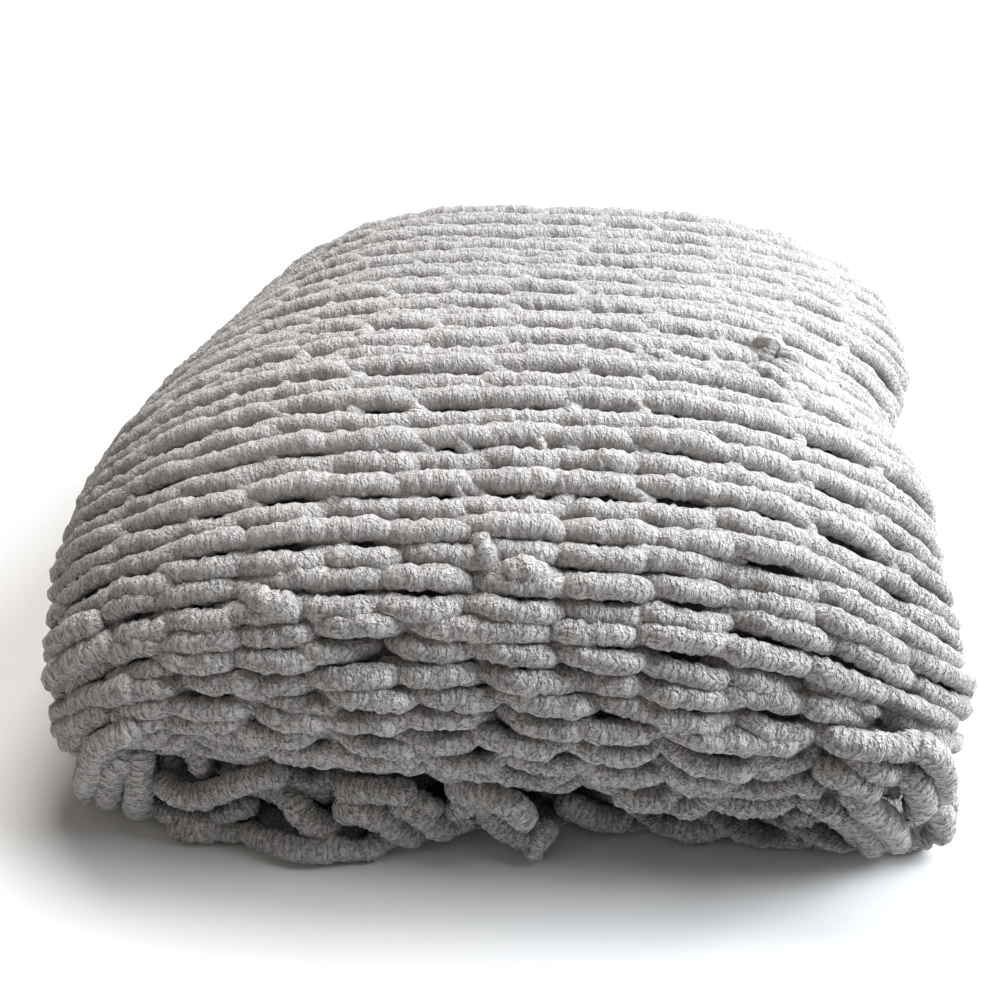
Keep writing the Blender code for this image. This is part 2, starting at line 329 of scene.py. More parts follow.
# Random shifts of each leg: the size, in wales, courses and metres, how much more
# of it comes with the looser knit, and the seed of course 0.
LEG_SHIFTS = {"wale": (0.050, 1.3, 100), "course": (0.17, 0.7, 200), "rise": (0.0014, 1.0, 300)}
PACE = 0.04             # rings are closer together on the legs than on heads and feet
PROBE = 0.004           # small rise that shows which way is out of the cloth

# How thick it is, in its own radii.
YARN_FULL = 1.02        # on a leg
YARN_PINCH = 0.20       # less at heads and feet, where other loops press on it
PINCH_EASED = 0.7       # share of the pinch that goes where the cloth is stretched
YARN_DRIFT = 0.05       # random change from leg to leg
DRIFT_SEED = 600
PRESSED = (0.45, 0.55)  # what stays anyway, and what goes as the stack settles
ON_FLOOR = 0.92         # lowest height of a yarn's middle

# The pile that makes its surface uneven.
TUFT_LONG = 0.0042
TUFTS_ROUND = 9
TUFT_HIGH = 0.0011
TIP_HIGH = 0.0009
PILE_SEED = 400
TIP_SEED = 7            # added to a tube's own seed
TOP_HEAVY = 0.055       # sides are narrower on the top of the yarn than underneath
FLOOR_GAP = 0.0003      # yarn that lies on the floor is flat against it

# The two strands of the free edge, wound round each other.
EDGE_TWIST = 0.0080     # distance of each from the middle between them
EDGE_RADIUS = 0.0080
EDGE_TURN = 2.10        # courses for one turn
EDGE_WALE = 0.60
EDGE_RISE = 0.0010
# How its measures drift: the size, the steps for each turn, and the draw, which is
# added to the strand's seed.
EDGE_DRIFT = {"turn": (0.09, 2.0, 0), "twist": (0.25, 3.0, 1),
              "wale": (0.16, 1.0, 3), "radius": (0.09, 4.0, 4)}
EDGE_PILE = 5           # draw of the strand's pile
EDGE_RINGS = 34         # for each course

# Loose ropes.
LOOSE_RADIUS = 0.0080
LOOSE_DRIFT = {"share": 0.08, "over": 0.022}    # random change of thickness, and its pace
RING_STEP = 0.0016
ROPE_SIDES = 12
BLUNT = 0.02            # share of the cross-section left at the very end
LOOSE_UP = (0.05, -0.55, 0.83)      # where the top of a rope's pattern faces
LOOSE_ASIDE = (0.3, -0.95, 0.1)     # ... where the rope itself runs nearly that way
NEARLY = 0.85           # cosine of the angle that counts as nearly


def yarn_course(number, turns):
    """Centre line of one course of knit in cloth measures, its c and how stretched it is.

    With t the stitch count and c = cos(2 pi t), 1 at a head and -1 at a foot:
    wale = t + swell * sin(4 pi t) + slant * c + bow * (1 - c^2), course = middle
    - reach * c, and the rise is LEG_RISE less the head's and the foot's drop,
    each eased in past its own c.  The beat sin(2 pi t) brings two legs together
    and lifts the one in front.  Then each leg shifts a little at random, a hole
    takes deep * exp(-r^2) off the rise, r = 1 at its width, and the rows sway.
    """
    t = turns + PACE * np.sin(4.0 * math.pi * turns)
    c = np.cos(2.0 * math.pi * t)
    leg = 2.0 * t + 0.5     # counts legs, whole in the middle of each
    wale = FIRST_WALE + t + LOOP_SWELL * np.sin(4.0 * math.pi * t)
    reach = np.full(c.shape, LOOP_REACH)
    if number == 0:
        reach = np.where(c > 0.0, EDGE_REACH[0], reach)
    if number == LAST_COURSE:
        reach = np.where(c < 0.0, EDGE_REACH[1], reach)
    course = FIRST_COURSE + number - reach * c
    loose = eased((wale - LOOSE_FROM) / (LOOSE_TO - LOOSE_FROM))
    wale = wale + between(LEG_SLANT, loose) * c
    wale = wale + between(LEG_BOW, loose) * (1.0 - c * c)
    dive = HEAD_DIVE["drop"] * eased((c - HEAD_DIVE["from"]) / (1.0 - HEAD_DIVE["from"]))
    dive = dive + FOOT_DIVE["drop"] * eased((-c - FOOT_DIVE["from"]) / (1.0 - FOOT_DIVE["from"]))
    stretched = eased((wale - SHALLOW_FROM) / (SHALLOW_TO - SHALLOW_FROM))
    rise = LEG_RISE - dive * (1.0 - (1.0 - SHALLOW) * stretched)
    beat = np.sin(2.0 * math.pi * t) * between((PAIR["elsewhere"], 1.0), stretched)

    def shift(way):
        size, more, seed = LEG_SHIFTS[way]
        return size * (1.0 + more * loose) * drift(leg, seed + number)

    wale = wale + PAIR["closer"] * beat + shift("wale")
    course = course + shift("course")
    rise = rise - PAIR["higher"] * beat + shift("rise")
    for at_course, at_wale in HOLES:
        near = (((course - at_course) / HOLE["courses"]) ** 2
                + ((wale - at_wale) / HOLE["wales"]) ** 2)
        rise = rise - HOLE["deep"] * np.exp(-near)
    wale = wale + sway(course, wale)
    return course, wale, rise, c, stretched


def tube(centre, above, radius, sides, seed, uneven=1.0):
    """Rings of yarn round a centre line, and the length along it.

    Ring direction at angle q: cos(q) * normal + sin(q) * side, with side =
    tangent x above and normal = side x tangent, and the tufts added to the
    radius.  Rings start underneath, where the seam of the pattern doesn't show.
    """
    tangent = np.gradient(centre, axis=0)
    step = np.linalg.norm(tangent, axis=1)
    tangent /= step[:, None]
    side = np.cross(tangent, above)
    side /= np.linalg.norm(side, axis=1, keepdims=True)
    normal = np.cross(side, tangent)
    along = np.concatenate(((0.0,), np.cumsum(0.5 * (step[1:] + step[:-1]))))
    turn = np.arange(sides) / sides
    turn = turn - TOP_HEAVY * np.sin(2.0 * math.pi * turn)
    grid_along, grid_turn = np.meshgrid(along, turn, indexing="ij")
    pile = tufts(grid_along / TUFT_LONG, grid_turn * TUFTS_ROUND, TUFTS_ROUND, seed)
    tips = np.random.default_rng(seed + TIP_SEED).uniform(-1.0, 1.0, pile.shape)
    reach = radius[:, None] + uneven * (TUFT_HIGH * pile + TIP_HIGH * tips)
    angle = 2.0 * math.pi * turn + math.pi
    direction = (np.cos(angle)[None, :, None] * normal[:, None, :]
                 + np.sin(angle)[None, :, None] * side[:, None, :])
    rings = centre[:, None, :] + reach[:, :, None] * direction
    rings[:, :, 2] = np.maximum(rings[:, :, 2], FLOOR_GAP)
    return rings, along


def joined_tubes(name, tubes):
    """One mesh from many tubes: each ring joined to the next, with closed ends.

    Its UV map holds metres along the yarn and round it.
    """
    points, loops, sizes, uvs = [], [], [], []
    first = 0
    girth = 2.0 * math.pi * YARN_RADIUS
    for rings, along in tubes:
        count, sides = rings.shape[:2]
        ring, turn = np.meshgrid(np.arange(count - 1), np.arange(sides), indexing="ij")
        after = (turn + 1) % sides
        quad = np.stack((ring * sides + turn, ring * sides + after,
                         (ring + 1) * sides + after, (ring + 1) * sides + turn), axis=-1)
        around = np.stack((turn, turn + 1, turn + 1, turn), axis=-1) * girth / sides
        length = np.stack((along[ring], along[ring], along[ring + 1], along[ring + 1]), axis=-1)
        ends = np.concatenate((np.arange(sides)[::-1], (count - 1) * sides + np.arange(sides)))
        points.append(rings.reshape(-1, 3))
        loops.append(np.concatenate((quad.ravel(), ends)) + first)
        sizes.append(np.concatenate((np.full(quad.size // 4, 4), (sides, sides))))
        uvs.append(np.stack((length, around), axis=-1).reshape(-1, 2))
        uvs.append(np.zeros((2 * sides, 2)))
        first += count * sides
    return mesh_of(name, np.concatenate(points), np.concatenate(loops),
                   np.concatenate(sizes), np.concatenate(uvs))


def mesh_of(name, points, loops, sizes, uvs=None):
    """A smooth mesh from its points, the corners of its faces and their counts."""
    mesh = bpy.data.meshes.new(name)
    mesh.vertices.add(len(points))
    mesh.vertices.foreach_set("co", np.ascontiguousarray(points, dtype=np.float32).ravel())
    mesh.loops.add(len(loops))
    mesh.loops.foreach_set("vertex_index", np.ascontiguousarray(loops, dtype=np.int32))
    mesh.polygons.add(len(sizes))
    starts = np.concatenate(((0,), np.cumsum(sizes)[:-1])).astype(np.int32)
    mesh.polygons.foreach_set("loop_start", starts)
    mesh.polygons.foreach_set("use_smooth", np.ones(len(sizes), dtype=bool))
    if uvs is not None:
        layer = mesh.uv_layers.new(name="yarn")
        layer.data.foreach_set("uv", np.ascontiguousarray(uvs, dtype=np.float32).ravel())
    mesh.update(calc_edges=True)
    mesh.validate()
    return mesh


def placed_line(course, wale, rise):
    """Where a centre line lies, which way is out of the cloth there, and the share of
    a small rise that is left where the stack has settled."""
    centre = place(course, wale, rise)
    out = place(course, wale, rise + PROBE) - centre
    length = np.linalg.norm(out, axis=1, keepdims=True)
    return centre, out / length, length[:, 0] / PROBE


def yarn_run(number, first, last, rings, sides):
    """Tube of one course from one stitch count to another.

    The pinch at heads and feet grows with c^4, and the heads of course 0, which
    nothing presses on, have none.
    """
    turns = np.linspace(first, last, max(4, int(round((last - first) * rings))) + 1)
    course, wale, rise, c, stretched = yarn_course(number, turns)
    centre, out, settled = placed_line(course, wale, rise)
    pinch = np.where(c > 0.0, YARN_PINCH if number > 0 else 0.0, YARN_PINCH) * c ** 4
    pinch = pinch * (1.0 - PINCH_EASED * stretched)
    uneven = YARN_DRIFT * drift(turns * 2.0 + 0.5, DRIFT_SEED + number)
    radius = YARN_RADIUS * (YARN_FULL - pinch + uneven)
    radius = radius * (PRESSED[0] + PRESSED[1] * settled)
    centre[:, 2] = np.maximum(centre[:, 2], radius * ON_FLOOR)
    return tube(centre, out, radius, sides, PILE_SEED + number)


def edge_strand(first, last, strand, seed):
    """Strand 0 or 1 of the free edge's twist, from one course to another.

    wale = EDGE_WALE + twist * cos(w) and rise = EDGE_RISE + twist * sin(w), with w
    one turn for every EDGE_TURN courses and half a turn between the strands.
    Turn and wale drift for both alike, and twist, radius and pile for each.
    """
    course = np.linspace(first, last, int(abs(last - first) * EDGE_RINGS) + 1)
    turn = (course - first) / EDGE_TURN

    def wander(measure, own=0):
        size, steps, draw = EDGE_DRIFT[measure]
        return size * drift(turn * steps, seed + draw + own)

    angle = 2.0 * math.pi * (turn + 0.5 * strand + wander("turn"))
    twist = EDGE_TWIST * (1.0 + wander("twist", strand))
    wale = EDGE_WALE + twist * np.cos(angle) / WALE + wander("wale")
    rise = EDGE_RISE + twist * np.sin(angle)
    centre, out, _ = placed_line(course, wale, rise)
    radius = EDGE_RADIUS * (1.0 + wander("radius", strand))
    centre[:, 2] = np.maximum(centre[:, 2], radius * ON_FLOOR)
    return tube(centre, out, radius, ROPE_SIDES, seed + EDGE_PILE + strand)


def loose_rope(points, seed, thick=1.0, uneven=1.0):
    """A rope of yarn through a few points, in metres.

    The line is a Catmull-Rom curve.  From p1 to p2, with p0 before and p3 after
    them and s from 0 to 1, it is half of 2 p1 + (p2 - p0) s + (2 p0 - 5 p1 + 4 p2
    - p3) s^2 + (3 p1 - p0 - 3 p2 + p3) s^3, in RING_STEP steps.  The radius is a
    little uneven and is rounded off over its own length at both ends.
    """
    knots = np.array(points)
    knots = np.concatenate((2.0 * knots[:1] - knots[1:2], knots,
                            2.0 * knots[-1:] - knots[-2:-1]))
    spans = np.linalg.norm(np.diff(knots[1:-1], axis=0), axis=1)
    parts = []
    for i, span in enumerate(spans):
        p0, p1, p2, p3 = knots[i:i + 4]
        steps = max(2, int(span / RING_STEP))
        s = np.arange(steps)[:, None] / steps
        parts.append(0.5 * (2.0 * p1 + (p2 - p0) * s
                            + (2.0 * p0 - 5.0 * p1 + 4.0 * p2 - p3) * s ** 2
                            + (3.0 * p1 - p0 - 3.0 * p2 + p3) * s ** 3))
    centre = np.concatenate(parts + [knots[-2:-1]])
    far = length_along(centre)
    change = LOOSE_DRIFT["share"] * drift(far / LOOSE_DRIFT["over"], seed)
    full = LOOSE_RADIUS * thick * (1.0 + change)
    end = np.clip(np.minimum(far, far[-1] - far) / full, 0.0, 1.0)
    radius = full * np.sqrt(np.maximum(1.0 - (1.0 - end) ** 2, BLUNT))
    centre[:, 2] = np.maximum(centre[:, 2], full * ON_FLOOR)
    ahead = np.gradient(centre, axis=0)
    ahead /= np.linalg.norm(ahead, axis=1, keepdims=True)
    above = np.broadcast_to(LOOSE_UP, centre.shape)
    that_way = np.abs(np.sum(above * ahead, axis=1, keepdims=True)) > NEARLY
    above = np.where(that_way, np.array(LOOSE_ASIDE), above)
    return tube(centre, above, radius, ROPE_SIDES, seed, uneven)


def object_of(name, mesh, material):
    """The mesh as an object of the blanket."""
    made = bpy.data.objects.new(name, mesh)
    bpy.context.scene.collection.objects.link(made)
    mesh.materials.append(material)
    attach(made, "root")
    return made


# --------------------------------------------------------------------------
# Materials
# --------------------------------------------------------------------------
# Jumbo chenille yarn: polyester pile round a core.  The pile stands in pleats with
# creases between them, painted darker for the shade in them, and its fibre ends are
# drawn as clumps, because single ones are too fine to show.  Sizes are along the yarn and round it.
PLEAT = (0.0042, 0.0100)
PLEAT_WANDER = {"scale": 260.0, "share": 0.55}      # bends their outlines, in 4 mm waves
PLEAT_SLOPE = 0.30      # share of a pleat that slopes down to its crease
PLEAT_HIGH = 0.34       # height of a pleat against that of the clumps
CLUMP = (0.0015, 0.0018)
CLUMP_ROUGH = 0.65
PILE_DEEP = 0.0034
PILE_PAINTED_SHADES = ((0.34, "#858180"), (0.66, "#c6c2c0"), (0.98, "#e0dcda"))    # painted shade, darkest in the creases, up to the tips
# Toward the stretched, brightly lit top the pile's relief is lower and its painted crease shade
# fades to an even tone: the heights between which that happens, and the share of its relief and painted
# shade left.
TOP_SMOOTHING = {"from": 0.16, "to": 0.25, "left": 0.60}
TOP_EVEN_TONE = "#cbc7c5"
# Painted shade down the sides and underside of the yarn, lifting to none on its
# crown: how far round from underneath, of 1 at the crown, and the tone left below.
YARN_SIDE_SHADE = {"from": 0.36, "to": 0.76, "below": 0.34}
SIDE_SHADE_POWER = 3.0        # how fast the painted side shade fades toward the top
BLOTCHES = {"scale": 26.0, "share": 0.25}           # soft changes of tone, 4 cm wide
CHENILLE_FINISH = {"Roughness": 0.92, "Specular IOR Level": 0.2,
                   "Sheen Weight": 0.35, "Sheen Roughness": 0.5}

# The yarn seen deep between the ropes, darker for lying in their shade.
BEHIND_SCALE = 300.0    # its pile in 3 mm clumps
BEHIND_SHADES = ((0.30, "#464442"), (0.65, "#6e6b69"))
BEHIND_DEEP = 0.003

# Inputs and output of a Mix node set to mix colours.
FACTOR, MIX_A, MIX_B, MIXED = 0, 6, 7, 2


def linear(code):
    """sRGB hex colour as linear RGBA."""
    parts = [int(code[i:i + 2], 16) / 255.0 for i in (1, 3, 5)]
    return tuple(part / 12.92 if part <= 0.04045 else ((part + 0.055) / 1.055) ** 2.4
                 for part in parts) + (1.0,)


def node(tree, kind, settings=None, links=None):
    """One node with its settings and its links: input name or number to (node, output)."""
    made = tree.nodes.new(kind)
    for key, value in (settings or {}).items():
        if isinstance(key, str) and hasattr(made, key):
            setattr(made, key, value)
        else:
            made.inputs[key].default_value = value
    for key, (source, output) in (links or {}).items():
        tree.links.new(source.outputs[output], made.inputs[key])
    return made


def blank_material(name):
    """A new material and its empty node tree."""
    material = bpy.data.materials.new(name)
    material.use_nodes = True
    material.node_tree.nodes.clear()
    return material, material.node_tree


def set_shades(ramp, shades):
    """Gives a colour ramp its shades, from low to high."""
    stops = ramp.color_ramp.elements
    while len(stops) < len(shades):
        stops.new(0.5)
    for stop, (at, colour) in zip(stops, shades):
        stop.position = at
        stop.color = linear(colour)


def pile_height(tree, where):
    """Height of the pile over the yarn: pleats and, on them, clumps of fibre ends."""
    stretch = node(tree, "ShaderNodeMapping",
                   {"Scale": (1.0 / PLEAT[0], 1.0 / PLEAT[1], 1.0)}, {"Vector": (where, "UV")})
    wander = node(tree, "ShaderNodeTexNoise",
                  {"noise_dimensions": "2D", "Scale": PLEAT_WANDER["scale"], "Detail": 2.0},
                  {"Vector": (where, "UV")})
    bent = node(tree, "ShaderNodeMix",
                {"data_type": "RGBA", "blend_type": "LINEAR_LIGHT", FACTOR: PLEAT_WANDER["share"]},
                {MIX_A: (stretch, "Vector"), MIX_B: (wander, "Color")})
    pleats = node(tree, "ShaderNodeTexVoronoi",
                  {"voronoi_dimensions": "2D", "feature": "DISTANCE_TO_EDGE", "Scale": 1.0},
                  {"Vector": (bent, MIXED)})
    creases = node(tree, "ShaderNodeMapRange",
                   {"interpolation_type": "SMOOTHSTEP", "From Min": 0.0, "From Max": PLEAT_SLOPE,
                    "To Min": 0.0, "To Max": 1.0}, {"Value": (pleats, "Distance")})
    small = node(tree, "ShaderNodeMapping",
                 {"Scale": (1.0 / CLUMP[0], 1.0 / CLUMP[1], 1.0)}, {"Vector": (where, "UV")})
    clumps = node(tree, "ShaderNodeTexNoise",
                  {"noise_dimensions": "2D", "Scale": 1.0, "Detail": 2.0,
                   "Roughness": CLUMP_ROUGH}, {"Vector": (small, "Vector")})
    return node(tree, "ShaderNodeMath", {"operation": "MULTIPLY_ADD", 1: PLEAT_HIGH},
                {0: (creases, "Result"), 2: (clumps, "Fac")})


def pile_tone_and_painted_shade(tree, where, place_at, pile, top_smoothing):
    """Tone of the pile: painted shade in its creases, blotches, and painted shade down the yarn's
    sides, less toward the top.
    """
    # Painted shade: the lower the pile lies in its creases, the darker its colour.
    shades = node(tree, "ShaderNodeValToRGB", links={"Fac": (pile, "Value")})
    set_shades(shades, PILE_PAINTED_SHADES)
    # Painted shade evens out toward the top, where it is lit most strongly.
    flat = node(tree, "ShaderNodeMix", {"data_type": "RGBA", MIX_A: linear(TOP_EVEN_TONE)},
                {FACTOR: (top_smoothing, "Result"), MIX_B: (shades, "Color")})
    blotches = node(tree, "ShaderNodeTexNoise",
                    {"Scale": BLOTCHES["scale"], "Detail": 2.0, "Roughness": 0.5},
                    {"Vector": (place_at, "Object")})
    tone = node(tree, "ShaderNodeMix",
                {"data_type": "RGBA", "blend_type": "MULTIPLY", FACTOR: BLOTCHES["share"]},
                {MIX_A: (flat, MIXED), MIX_B: (blotches, "Fac")})
    # Painted shade: darker down the sides and underside of each yarn than on its crown.
    half_round = math.pi * YARN_RADIUS
    split = node(tree, "ShaderNodeSeparateXYZ", links={0: (where, "UV")})
    crown = node(tree, "ShaderNodeMath", {"operation": "PINGPONG", 1: half_round},
                 {0: (split, "Y")})
    side_shade = node(tree, "ShaderNodeMapRange",
                     {"interpolation_type": "SMOOTHSTEP",
                      "From Min": YARN_SIDE_SHADE["from"] * half_round,
                      "From Max": YARN_SIDE_SHADE["to"] * half_round,
                      "To Min": YARN_SIDE_SHADE["below"], "To Max": 1.0},
                     {"Value": (crown, "Value")})
    side_shade_share = node(tree, "ShaderNodeMath", {"operation": "POWER", 1: SIDE_SHADE_POWER},
                 {0: (top_smoothing, "Result")})
    return node(tree, "ShaderNodeMix", {"data_type": "RGBA", "blend_type": "MULTIPLY"},
                {FACTOR: (side_shade_share, "Value"), MIX_A: (tone, MIXED), MIX_B: (side_shade, "Result")})


def chenille():
    """Matt polyester chenille yarn: its short pile scatters light and has a soft sheen."""
    material, tree = blank_material("grey_chenille_yarn")
    where = node(tree, "ShaderNodeUVMap", {"uv_map": "yarn"})
    place_at = node(tree, "ShaderNodeTexCoord")
    height = node(tree, "ShaderNodeSeparateXYZ", links={0: (place_at, "Object")})
    top_smoothing = node(tree, "ShaderNodeMapRange",
                  {"interpolation_type": "SMOOTHSTEP", "From Min": TOP_SMOOTHING["from"],
                   "From Max": TOP_SMOOTHING["to"], "To Min": 1.0, "To Max": TOP_SMOOTHING["left"]},
                  {"Value": (height, "Z")})
    pile = pile_height(tree, where)
    colour = pile_tone_and_painted_shade(tree, where, place_at, pile, top_smoothing)
    bump = node(tree, "ShaderNodeBump", {"Distance": PILE_DEEP},
                {"Height": (pile, "Value"), "Strength": (top_smoothing, "Result")})
    shader = node(tree, "ShaderNodeBsdfPrincipled", CHENILLE_FINISH,
                  {"Base Color": (colour, MIXED), "Normal": (bump, "Normal")})
    node(tree, "ShaderNodeOutputMaterial", links={"Surface": (shader, "BSDF")})
    return material


def cloth_back():
    """The same yarn seen deep between the ropes, where its loops close the cloth, in dark tones that
    are painted shade.
    """
    material, tree = blank_material("grey_chenille_behind")
    where = node(tree, "ShaderNodeTexCoord")
    pile = node(tree, "ShaderNodeTexNoise", {"Scale": BEHIND_SCALE, "Detail": 3.0},
                {"Vector": (where, "Object")})
    shades = node(tree, "ShaderNodeValToRGB", links={"Fac": (pile, "Fac")})
    set_shades(shades, BEHIND_SHADES)
    bump = node(tree, "ShaderNodeBump", {"Strength": 0.8, "Distance": BEHIND_DEEP},
                {"Height": (pile, "Fac")})
    shader = node(tree, "ShaderNodeBsdfPrincipled", {"Roughness": 0.95, "Specular IOR Level": 0.1},
                  {"Base Color": (shades, "Color"), "Normal": (bump, "Normal")})
    node(tree, "ShaderNodeOutputMaterial", links={"Surface": (shader, "BSDF")})
    return material


def floor_paint():
    """Plain pale matt floor."""
    material = bpy.data.materials.new("pale_floor")
    material.use_nodes = True
    shader = material.node_tree.nodes["Principled BSDF"]
    shader.inputs["Base Color"].default_value = linear("#e6e6e6")
    shader.inputs["Roughness"].default_value = 0.8
    return material


# --------------------------------------------------------------------------
# The cloth behind the ropes
# --------------------------------------------------------------------------
BACK_THICK = 0.005
BACK_RISE = -0.0035     # its middle, below the middle of the ply
BACK_INSET = (0.3, 1.0)     # courses and wales in from the open and free edges
BACK_GRID = (61, 181)       # points across the cloth and along it


def cloth_behind(material):
    """Closed sheet at the middle of the ply: a grid over course and wale, both faces and a rim."""
    across = np.linspace(BACK_INSET[0], COURSES - BACK_INSET[0], BACK_GRID[0])
    along = np.linspace(BACK_INSET[1], WALES - BACK_INSET[1], BACK_GRID[1])
    course, wale = np.meshgrid(across, along, indexing="ij")
    faces = [place(course, wale, BACK_RISE + side * 0.5 * BACK_THICK) for side in (1.0, -1.0)]
    for face, lowest in zip(faces, (2.0 * FLOOR_GAP, FLOOR_GAP)):
        face[..., 2] = np.maximum(face[..., 2], lowest)
    rows, columns = course.shape
    count = rows * columns
    i, j = np.meshgrid(np.arange(rows - 1), np.arange(columns - 1), indexing="ij")
    corner = i * columns + j
    top = np.stack((corner, corner + 1, corner + columns + 1, corner + columns), axis=-1)
    top = top.reshape(-1, 4)
    bottom = top[:, ::-1] + count
    rim = np.concatenate((np.arange(columns), columns * np.arange(1, rows) + columns - 1,
                          (rows - 1) * columns + np.arange(columns - 2, -1, -1),
                          columns * np.arange(rows - 2, 0, -1)))
    after = np.roll(rim, -1)
    edge = np.stack((rim, rim + count, after + count, after), axis=-1)
    quads = np.concatenate((top, bottom, edge))
    mesh = mesh_of("cloth_behind", np.concatenate([f.reshape(-1, 3) for f in faces]),
                   quads.ravel(), np.full(len(quads), 4))
    return object_of("cloth_behind", mesh, material)


# --------------------------------------------------------------------------
# The knit
# --------------------------------------------------------------------------
# Where the runs of each course end along the path, counted in stitches.
FIRST_TURN = -0.25      # at the free edge
FRONT_TURNS = 2.5       # as far in as the free edge shows
under_turn = math.floor(wale_at(BACK_CORNER)) - 1.5     # where the hidden underside ends
tuck_turn = math.floor(wale_at(FOOT_CORNER)) + 1.5      # where the front is tucked under
LAST_SHORT = 0.2        # wales left free at the inner free edge
last_turn = math.floor(WALES - LAST_SHORT - FIRST_WALE) - 0.5

OUTER_PLY = range(13)               # its courses
OPEN_EDGES = (0, 1, 22, 23)         # courses at the open edges
ROUND_FOLD = (11, 12, 13)           # and at the lengthwise fold

# Rings for each stitch and sides of a ring, from what is looked at most to what
# is hidden under or inside the stack.
FINE, PLAIN, HIDDEN = (48, 14), (26, 10), (18, 7)

# Pieces of knit: name, first course, last course.
GROUPS = (("knit_right_edge", 0, 1), ("knit_right", 2, 4), ("knit_right_middle", 5, 7),
          ("knit_left_middle", 8, 10), ("knit_left_fold", 11, 13), ("knit_inner_ply", 14, 23))
# Where the free edge is a two-strand twist: first course, last course, seed.
TWISTED = ((0.3, 5.4, 500), (12.6, 23.7, 520))


def turns_of(number):
    """The runs of one course that are made: (from, to, rings, sides).

    Every course shows at the free edge, the outer ply's also over the back, top
    and front, and those at the two ends of the stack all the way in.
    """
    at_end = number in OPEN_EDGES + ROUND_FOLD
    runs = [(FIRST_TURN, FRONT_TURNS) + FINE]
    if number in OUTER_PLY or at_end:
        runs.append((FRONT_TURNS, under_turn) + HIDDEN)
        runs.append((under_turn, tuck_turn) + (FINE if number in OUTER_PLY else PLAIN))
    if at_end:
        runs.append((tuck_turn, last_turn) + PLAIN)
    return runs


yarn = chenille()
behind = cloth_back()
for name, first, last in GROUPS:
    tubes = [yarn_run(number, *run)
             for number in range(first, last + 1) for run in turns_of(number)]
    object_of(name, joined_tubes(name, tubes), yarn)
edges = [edge_strand(first, last, strand, seed)
         for first, last, seed in TWISTED for strand in (0, 1)]
object_of("front_edge_twist", joined_tubes("front_edge_twist", edges), yarn)

# --------------------------------------------------------------------------
# Loose ropes
# --------------------------------------------------------------------------
# At the corners and the free edge: thickness, then the points each goes through.
LEFT_CORNER = (
    # the ropes that hang to the floor, from left to right
    (1.20, (-0.205, -0.258, 0.106), (-0.217, -0.262, 0.102), (-0.232, -0.262, 0.093),
     (-0.245, -0.260, 0.077), (-0.255, -0.256, 0.056), (-0.267, -0.246, 0.032),
     (-0.276, -0.236, 0.010)),
    (1.20, (-0.226, -0.248, 0.080), (-0.233, -0.254, 0.069), (-0.242, -0.254, 0.052),
     (-0.252, -0.248, 0.030), (-0.260, -0.238, 0.010)),
    (1.20, (-0.219, -0.248, 0.080), (-0.222, -0.254, 0.062), (-0.226, -0.256, 0.043),
     (-0.232, -0.252, 0.026), (-0.237, -0.248, 0.009)),
    # slack row ends that bunch up over them
    (1.30, (-0.290, -0.211, 0.090), (-0.271, -0.221, 0.113), (-0.252, -0.230, 0.131),
     (-0.234, -0.231, 0.142), (-0.224, -0.226, 0.145)),
    (1.15, (-0.268, -0.236, 0.094), (-0.250, -0.241, 0.106), (-0.228, -0.249, 0.121),
     (-0.208, -0.252, 0.132)),
    (1.10, (-0.278, -0.232, 0.069), (-0.256, -0.247, 0.091), (-0.239, -0.251, 0.105),
     (-0.228, -0.252, 0.112)),
    (1.15, (-0.276, -0.212, 0.128), (-0.260, -0.218, 0.142), (-0.244, -0.222, 0.152),
     (-0.235, -0.220, 0.153)),
    # the lip over the pocket
    (1.15, (-0.216, -0.246, 0.049), (-0.209, -0.252, 0.041), (-0.196, -0.256, 0.038),
     (-0.183, -0.257, 0.040), (-0.168, -0.257, 0.048), (-0.154, -0.257, 0.055),
     (-0.138, -0.256, 0.060), (-0.125, -0.255, 0.060)),
    # the curled ropes in the pocket
    (1.00, (-0.203, -0.236, 0.065), (-0.192, -0.240, 0.065), (-0.187, -0.242, 0.056),
     (-0.189, -0.242, 0.042)),
    (1.00, (-0.219, -0.232, 0.051), (-0.211, -0.236, 0.044), (-0.204, -0.238, 0.033)),
    # the ropes of the lip that lies on the floor
    (1.05, (-0.188, -0.254, 0.014), (-0.177, -0.253, 0.016), (-0.163, -0.250, 0.022),
     (-0.153, -0.245, 0.026)),
    (1.05, (-0.233, -0.240, 0.012), (-0.218, -0.248, 0.012), (-0.203, -0.253, 0.012),
     (-0.188, -0.257, 0.012), (-0.174, -0.255, 0.012)),
    (1.00, (-0.214, -0.256, 0.008), (-0.203, -0.259, 0.008), (-0.189, -0.261, 0.008),
     (-0.176, -0.259, 0.009), (-0.160, -0.262, 0.009)),
    (1.05, (-0.164, -0.259, 0.010), (-0.143, -0.265, 0.009), (-0.128, -0.270, 0.009),
     (-0.113, -0.272, 0.009), (-0.098, -0.271, 0.009), (-0.086, -0.266, 0.010)),
    (1.00, (-0.108, -0.264, 0.014), (-0.092, -0.269, 0.009), (-0.076, -0.267, 0.008),
     (-0.060, -0.256, 0.010), (-0.046, -0.250, 0.008), (-0.034, -0.247, 0.008)),
)
